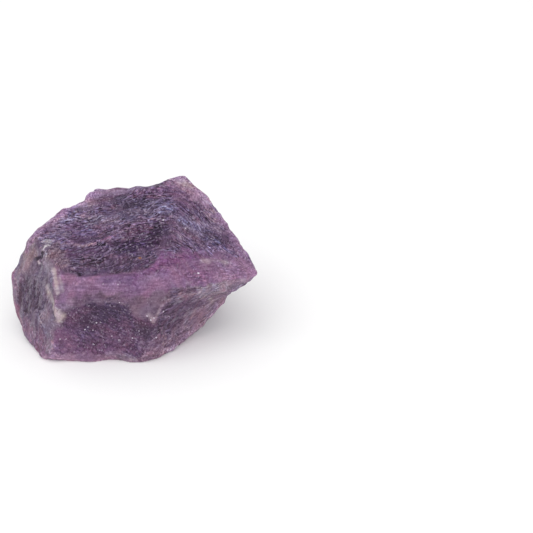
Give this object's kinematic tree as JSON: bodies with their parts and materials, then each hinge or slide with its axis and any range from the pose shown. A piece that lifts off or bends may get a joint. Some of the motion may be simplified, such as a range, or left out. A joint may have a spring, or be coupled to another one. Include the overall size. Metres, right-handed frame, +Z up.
{
  "type": "raw lepidolite stone",
  "caption": "Rough broken lump of violet lepidolite mica with a sloping layered top, a pointed end, hollows where flakes broke away and a flat base to rest on.",
  "frame": {"origin": "under the middle of the stone's box, on the surface that the stone lies on", "axes": "+X along the stone's length, towards its pointed end; +Y away from the broken front; +Z up, out of the surface that the stone lies on"},
  "size_m": [0.0454, 0.029, 0.0236],
  "materials": {
    "lepidolite": "natural break, pearly to waxy, not polished"
  },
  "bodies": {
    "root": {"lepidolite": "lepidolite"}
  },
  "joints": []
}
